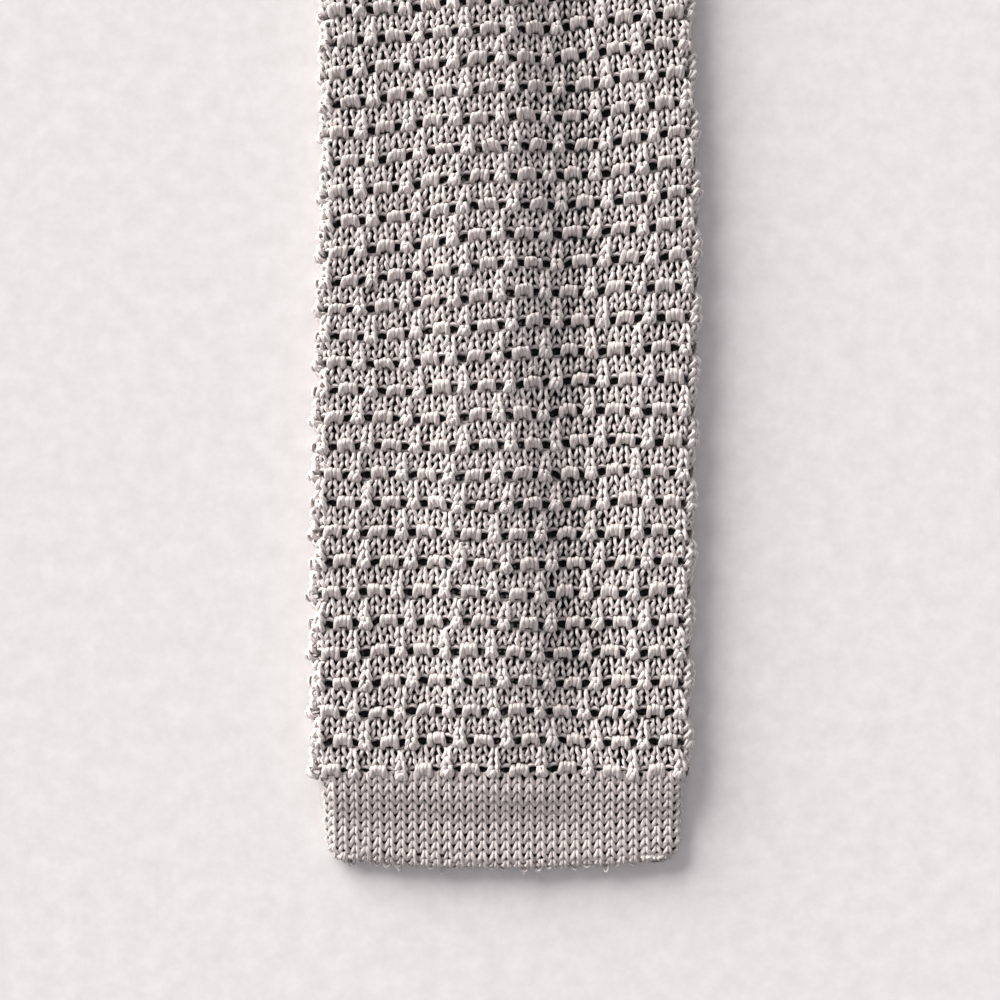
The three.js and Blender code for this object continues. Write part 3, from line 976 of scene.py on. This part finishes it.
last_course = math.floor((TUBE_END - FAR_LAST_COURSE - ROW_V) / COURSE_PITCH)
far_courses = np.arange(numbers[-1] + 1, last_course + 1)
far_pieces = []
for part, chosen in enumerate(np.array_split(far_courses, FAR_PARTS)):
    piece = far_stitches(f"long_stretch_courses_{part + 1}", chosen)
    piece.data.materials.append(far_painted_light_silk)
    far_pieces.append(piece)
    print(piece.name, triangles(piece), "triangles")

# %% [markdown]
# ## Caps, knots and holes of the long stretch
# They stand at the same wales as before, wherever the cloth is wide enough to have them. A knot makes do
# with two strands here. Each hole is a spindle laid low across it, painted near-black as the shade in
# the hole, because the ground of this stretch is pale.

# %% Far caps, knots and holes
FAR_HOLE_HALF = 0.7
FAR_HOLE_LIFT = -1.1
FAR_HOLE_RADIUS = 0.55
FAR_HOLE_DIVE = 0.15
FAR_BUNDLE_RADIUS = 0.5
FAR_BUNDLE_SIDES = 3
FAR_STATIONS = np.array([0.0, 0.14, 0.84, 1.0])
FAR_ARCH = np.array([0.15, 1.0, 0.7, 0.1])
FAR_UNEVEN_ACROSS, FAR_UNEVEN_ALONG = 0.06, 0.08
FAR_LAST_ROW = 1.5


def far_places(rows, offsets):
    """The rows and wales at some offsets from each raised chain, where the cloth is wide enough."""
    row, wale = (grid.ravel() for grid in np.meshgrid(rows, FAR_WALES, indexing="ij"))
    chain = np.mod(wale - np.where(row % 2, ODD_ROW_SHIFT, 0), REPEAT_WALES) == 0
    place = np.concatenate([wale[chain] + offset for offset in offsets])
    row = np.tile(row[chain], len(offsets))
    keep = in_reach(row * ROW_COURSES, place)
    return row[keep][:, None], place[keep][:, None]


def far_bundles(name, strands, offset, rows):
    """Caps or knots of some rows, with every strand as one spindle of two rings."""
    row, place = far_places(rows, [offset])
    t = FAR_STATIONS
    parts = []
    for strand in strands:
        across = strand["top"] + (strand["foot"] - strand["top"]) * t
        u = wale_u(place) + across + random.normal(0, FAR_UNEVEN_ACROSS, row.shape)
        high = strand["high"] + random.normal(0, FAR_UNEVEN_ALONG, row.shape)
        v = course_v(ROW_COURSES * row) + high + (strand["low"] - high) * t
        parts.append((u, v, np.broadcast_to(BUNDLE_ROOT + strand["rise"] * FAR_ARCH, u.shape)))
    u, v, up = (np.concatenate(arrays) for arrays in zip(*parts))
    du, dv = wander(u, v)
    v = np.minimum(v + dv, TUBE_END + FAR_PAST_END)
    points, normals = on_cloth(u + du, v, up, FAR_BUNDLE_RADIUS)
    return spindles(name, points, normals, up + FAR_PAINTED_LIGHT, FAR_BUNDLE_RADIUS, FAR_BUNDLE_SIDES)


def far_holes(name, rows):
    """A low spindle across each hole of some rows, painted near-black as the shade in the hole."""
    row, place = far_places(rows, HOLE_WALES)
    t = np.array([-1.0, 0.0, 1.0])
    u = wale_u(place) + FAR_HOLE_HALF * t
    v = np.broadcast_to(course_v(ROW_COURSES * row), u.shape)
    du, dv = wander(u, v)
    lift = np.broadcast_to(FAR_HOLE_LIFT - FAR_HOLE_DIVE * abs(t), u.shape)
    points, normals = on_cloth(u + du, np.minimum(v + dv, TUBE_END), lift)
    return spindles(name, points, normals, lift, FAR_HOLE_RADIUS, FAR_BUNDLE_SIDES)


last_row = math.floor((TUBE_END - FAR_LAST_ROW - ROW_V) / COURSE_PITCH / ROW_COURSES)
far_rows = np.arange(pattern_rows()[-1] + 1, last_row + 1)
far_caps = far_bundles("long_stretch_caps", CAP_STRANDS, CAP_WALE, far_rows)
far_knots = far_bundles("long_stretch_knots", KNOT_STRANDS[:2], 0, far_rows)
holes = far_holes("long_stretch_painted_hole_shade", far_rows)
for piece, material in ((far_caps, far_painted_light_silk), (far_knots, far_painted_light_silk), (holes, shade_silk)):
    piece.data.materials.append(material)
    far_pieces.append(piece)
    print(piece.name, triangles(piece), "triangles")

# %% [markdown]
# ## The body of the cloth
# Behind the front loops lies the rest of the knit, always in shade, so it is painted near-black as
# shade. It is a closed shell that follows the imported tube, a little inside it, and it is what you see
# at the bottom of every hole. Its underside is the tie's plain back, which nobody sees while the tie
# lies there, so its stitches are only drawn by a bump. Along the far stretch the shell lies higher, as
# the ground that its stitches stand in, and there it is painted in the lighter grey of half shade.

# %% Cloth shell
SHELL_DEPTH = 1.75
GROUND_DEPTH = 1.3
GROUND_START = NEAR_END - 3
SHELL_THICKNESS = 0.5
SHELL_STEP = 6
SHELL_COLUMNS = 36
UNDER_COLUMNS = 7
UNDER_HEIGHT = 0.05
UNDER_DEPTH = 0.1
# The shell's value for the depth shading, below the deepest yarn, so its colour is painted at its darkest.
SHELL_PAINTED_SHADE_LIFT = -3.0


def shell_tube(name, place, stops, half, radius, depth, thickness, ground_from=math.inf):
    """A flattened tube with two surfaces, open at both ends. place(u, v, lift) gives points on the cloth.

    depth is how far it lies under the yarn at each stop, less where it is turned under. Past
    ground_from it shows between the yarns.
    """
    flat = half[:, None] - radius
    u = (flat + math.pi * radius) * np.linspace(-1, 1, SHELL_COLUMNS)
    turned_under = np.clip((abs(u) - flat) / (radius * math.pi / 2) - 1, 0, 1)
    sunk = depth[:, None] * (1 - turned_under) + UNDER_DEPTH * turned_under
    rings = []
    for inside in (0, thickness):
        floor_z = UNDER_HEIGHT + inside
        face, _ = place(u, stops[:, None], -sunk - inside)
        face[..., 2] = np.maximum(face[..., 2], floor_z)
        t = np.linspace(0, 1, UNDER_COLUMNS)[1:-1][:, None]
        under = face[:, None, -1] * (1 - t) + face[:, None, 0] * t
        rings.append(np.concatenate([face, under], axis=1))
    count, rows = rings[0].shape[1], len(stops)
    points = np.concatenate([ring.reshape(-1, 3) for ring in rings])
    r, c = np.meshgrid(np.arange(rows - 1), np.arange(count), indexing="ij")
    a, b = r * count + c, r * count + (c + 1) % count
    outer = np.stack([a, b, b + count, a + count], -1).reshape(-1, 4)
    inner = outer[:, ::-1] + rows * count
    c = np.arange(count)
    low = np.stack([c + rows * count, (c + 1) % count + rows * count, (c + 1) % count, c], -1)
    high = low[:, ::-1] + (rows - 1) * count
    quads = np.concatenate([outer, inner, low, high])
    lift = np.full(len(points), SHELL_PAINTED_SHADE_LIFT)
    piece = mesh_from_arrays(name, points, quads, np.empty((0, 3), int), points, lift)
    for material in (shade_silk, back_silk, half_shade_ground_silk):
        piece.data.materials.append(material)
    finish = np.zeros(len(piece.data.polygons), np.int32)
    past = (stops[:-1] >= ground_from)[:, None]
    finish[: len(outer)] = np.where(c >= SHELL_COLUMNS - 1, 1, np.where(past, 2, 0)).ravel()
    piece.data.polygons.foreach_set("material_index", finish)
    return piece


near_stops = np.arange(TUBE_START, NEAR_END, SHELL_STEP)
far_stops = np.linspace(NEAR_END + 1, TUBE_END, int((TUBE_END - NEAR_END) / SHELL_STEP))
stops = np.concatenate([near_stops, far_stops])
halves = np.interp(stops, section_v, section_half)
depths = np.where(stops > GROUND_START, GROUND_DEPTH, SHELL_DEPTH)
shell = shell_tube(
    "knit_cloth", on_cloth, stops, halves, FOLD_RADIUS, depths, SHELL_THICKNESS, GROUND_START,
)
print(shell.name, triangles(shell), "triangles")

# %% [markdown]
# ## The surface of a band
# Each end is closed by a band of plain jersey, thinner than the tie. Its outline is read off the packed
# band: the half width at every distance from its edge. A place on it is given as on the tie, but here
# the cloth also turns down round the edge, which is a fold too, and rises a little to meet the thicker
# cloth.

# %% Places on a band
BAND_RADIUS = 1.6
BAND_RISE = 1.4
BAND_RISE_START = 8
BAND_SIDE_SWELL = 0.75
BAND_EDGE_LEAST = 1.3
BAND_EDGE_TURN = 2.6
BAND_SHELL_DEPTH = 1.0
BAND_SHELL_THICKNESS = 0.35


def band_surface(node, direction):
    """A function like on_cloth for one end's band. direction is 1 at the wide end and -1 at the other."""
    low, high = node_box(node)
    edge_y = low[1] if direction > 0 else high[1]
    middle = (low[0] + high[0]) / 2
    points = np.array([vertex.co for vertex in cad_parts[node].data.vertices]) / MM
    depths = ((points[:, 1] - edge_y) * direction).round(2)
    reach = abs(points[:, 0] - middle)
    stops = np.unique(depths)
    halves = np.array([reach[depths == stop].max() for stop in stops])
    keep = stops > BAND_EDGE_LEAST
    stops, halves = stops[keep], np.maximum.accumulate(halves[keep])
    bow = stops[0]
    joined = TUBE_START if direction > 0 else TUBE_END

    def place(u, v, lift, lowest=0.0):
        u, v, lift = np.broadcast_arrays(*(np.asarray(a, float) for a in (u, v, lift)))
        past_fold = v - BAND_RADIUS
        angle = np.clip(-past_fold / BAND_RADIUS, 0, BAND_EDGE_TURN)
        bowed = bow * np.minimum(abs(u) / halves[0], 1) ** 2 * np.clip(1 - past_fold / stops[-1], 0, 1)
        depth = bowed + np.maximum(past_fold, 0) + BAND_RADIUS - (BAND_RADIUS + lift) * np.sin(angle)
        half = np.interp(depth, stops, halves)
        flat = half - BAND_RADIUS
        over = abs(u) - flat
        turn = np.clip(over / BAND_RADIUS, 0, math.pi)
        under = np.maximum(over - math.pi * BAND_RADIUS, 0)
        side = np.sign(u)
        swell = np.where(lift > -BAND_SHELL_DEPTH, BAND_SIDE_SWELL, 0)
        swell = swell * np.sin(np.minimum(turn, math.pi / 2)) ** 2
        reach_out = (BAND_RADIUS + lift + swell) * np.sin(turn) - under
        x = middle + side * (np.minimum(abs(u), flat) + reach_out)
        t = np.clip((depth - BAND_RISE_START) / (stops[-1] - BAND_RISE_START), 0, 1)
        relief = face_height(np.clip(u / flat, -1, 1), np.full_like(u, joined)) - FOLD_HEIGHT
        rise = (BAND_RISE + relief) * ease(t) * np.maximum(np.cos(turn), 0)
        z = BAND_RADIUS + (BAND_RADIUS + lift) * np.cos(turn) * np.cos(angle) + rise
        y = edge_y + direction * depth
        facing_along = -direction * np.sin(angle) * np.cos(turn)
        normals = [side * np.sin(turn), facing_along, np.cos(turn) * np.cos(angle)]
        return np.stack([x, y, np.maximum(z, lowest)], -1), np.stack(normals, -1)

    return place, stops, halves


# %% [markdown]
# ## Jersey courses of the bands
# The jersey has the same wales as the tie, and its yarn fills the stitches better, so only small dark
# dots show between the legs. The path is the same as before with other amounts, and without any chart.
# The last courses at the edge are slacker and less even.

# %% Band yarn
BAND_COURSE_PITCH = 1.68
BAND_YARN_RADIUS = 0.4
BAND_THINNEST = 0.92
BAND_SWAY = 0.6
BAND_SWING = 0.84
BAND_TILT = 0.35
BAND_DIP = 0.8
BAND_SUNK = -0.75
BAND_UNEVEN = 0.05
SLACK_LINE = 2.8
SLACK_UNEVEN = 0.2
BAND_TOP_COURSE = 15.56
BAND_COURSES = 12
BAND_SEGMENTS = 9
BAND_SIDES = 6
BAND_SIDE_REACH = 1.6
BAND_LOWEST = 0.7
BAND_SLANT, BAND_RIPPLE = 0.12, 0.1


def band_courses(name, place, halves, direction, seed):
    """The yarn of one band."""
    drift = np.random.default_rng(seed)
    wales_side = int((halves[-1] + BAND_SIDE_REACH * BAND_RADIUS) / WALE_PITCH) + 1
    count = 2 * wales_side + 1
    wale = np.linspace(-wales_side - 0.5, wales_side + 0.5, count * BAND_SEGMENTS + 1)
    line = BAND_TOP_COURSE - BAND_COURSE_PITCH * np.arange(BAND_COURSES)
    line_grid, wale_grid = np.meshgrid(line, wale, indexing="ij")
    phase = 2 * math.pi * (wale_grid + 0.5)
    out = -np.cos(2 * phase)
    lift = BAND_SUNK + out * np.where(out > 0, LOOP_RISE, BAND_DIP) + BAND_TILT * np.cos(phase)
    stitch = np.clip((wale_grid + wales_side + 0.5).astype(int), 0, count - 1)
    rows = np.arange(BAND_COURSES)[:, None]
    spread = np.where(line[:, None] < SLACK_LINE, SLACK_UNEVEN, BAND_UNEVEN)
    uneven = [(spread * drift.normal(0, 1, (BAND_COURSES, count)))[rows, stitch] for _ in range(3)]
    mid_stitch = np.sin(math.pi * (wale_grid + 0.5)) ** 2
    u = wale_u(wale_grid) + BAND_SWAY * np.sin(2 * phase) + uneven[0] * mid_stitch
    v = line_grid + direction * BAND_SWING * BAND_COURSE_PITCH * np.cos(phase) + uneven[1] * mid_stitch
    v = v + BAND_SLANT * np.sin(u / 5.3 + line_grid / 4)
    plump = BAND_THINNEST + (1 - BAND_THINNEST) * np.maximum(out, 0)
    radius = BAND_YARN_RADIUS * plump * (1 + 0.5 * uneven[2])
    lift = lift + BAND_RIPPLE * np.sin(u / 2.7 + line_grid)
    points, normals = place(u, v, lift, BAND_YARN_RADIUS * BAND_LOWEST)
    piece = sweep(name, points, normals, lift, radius, BAND_SIDES)
    piece.data.materials.append(plain_silk)
    return piece


# %% [markdown]
# ## The edge of a band
# Along its edge the knitting ends in slack loops, with a thin curl of yarn standing out here and there.
# Each is a short tube of its own, bowed out from the fold, and which of them appear is drawn by lot.

# %% Edge loops
EDGE_POINTS = 9
EDGE_SIDES = 5
EDGE_UNEVEN = 0.3
EDGE_DEPTH = 0.8
EDGE_PLACE = (-1.1, -0.2)
EDGE_LOOPS = [
    {"share": 0.8, "width": (1.1, 1.7), "hang": (-0.3, 0.35), "radius": 0.3},
    {"share": 0.3, "width": (0.6, 1.3), "hang": (0.5, 1.1), "radius": 0.15},
]


def edge_loops(name, place, halves, seed):
    """A band's edge: a fat slack loop at most wales, and a few thin curls of yarn."""
    drift = np.random.default_rng(seed)
    t = np.linspace(0, 1, EDGE_POINTS)
    all_u, all_v, all_lift, all_radius = [], [], [], []
    for at in np.arange(-halves[0], halves[0], WALE_PITCH):
        for loop in EDGE_LOOPS:
            if drift.random() > loop["share"]:
                continue
            width, hang = drift.uniform(*loop["width"]), drift.uniform(*loop["hang"])
            lean = drift.normal(0, EDGE_UNEVEN)
            centre = at + drift.normal(0, EDGE_UNEVEN)
            all_u.append(centre + width * (t - 0.5) + lean * np.sin(math.pi * t))
            all_v.append(drift.uniform(*EDGE_PLACE) + drift.normal(0, EDGE_UNEVEN) * (t - 0.5))
            all_lift.append((EDGE_DEPTH + hang) * np.sin(math.pi * t) ** 0.7 - EDGE_DEPTH)
            all_radius.append(np.full_like(t, loop["radius"]))
    u, v, lift = np.array(all_u), np.array(all_v), np.array(all_lift)
    points, normals = place(u, v, lift, EDGE_LOOPS[0]["radius"])
    piece = sweep(name, points, normals, np.minimum(lift, 0), np.array(all_radius), EDGE_SIDES)
    piece.data.materials.append(plain_silk)
    return piece


# %% [markdown]
# ## Both bands
# A band is three pieces: a body like the tie's, painted near-black as shade, which shows between the
# stitches, its courses and its edge loops. The narrow end is the same band turned round.

# %% Build the bands
BODY_FROM_EDGE, BODY_FROM_JOIN, BODY_STOPS = 0.3, 0.2, 12
BAND_ENDS = [
    {"node": "wide_end_band", "direction": 1, "yarn_seed": 21, "edge_seed": 31},
    {"node": "narrow_end_band", "direction": -1, "yarn_seed": 22, "edge_seed": 32},
]
band_pieces = {}
for end in BAND_ENDS:
    node, direction = end["node"], end["direction"]
    place, depths, halves = band_surface(node, direction)
    stops = np.linspace(BODY_FROM_EDGE, depths[-1] - BODY_FROM_JOIN, BODY_STOPS)
    body = shell_tube(
        node.replace("band", "jersey"), place, stops, np.interp(stops, depths, halves), BAND_RADIUS,
        np.full_like(stops, BAND_SHELL_DEPTH), BAND_SHELL_THICKNESS,
    )
    courses_name = node.replace("band", "jersey_courses")
    yarn = band_courses(courses_name, place, halves, direction, end["yarn_seed"])
    loose = edge_loops(node.replace("band", "edge_loops"), place, halves, end["edge_seed"])
    band_pieces[node] = [body, yarn, loose]
    print(node, [triangles(piece) for piece in band_pieces[node]])

# %% [markdown]
# ## Ride
# Every piece rides on the tie's only body, and the imported tube and bands are hidden.

tuck_pieces = near_pieces + [caps, knots, bars] + far_pieces
for piece in tuck_pieces + [shell]:
    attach(piece, "root")
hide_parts("knit_tube")
for node, pieces in band_pieces.items():
    for piece in pieces:
        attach(piece, "root")
    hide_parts(node)
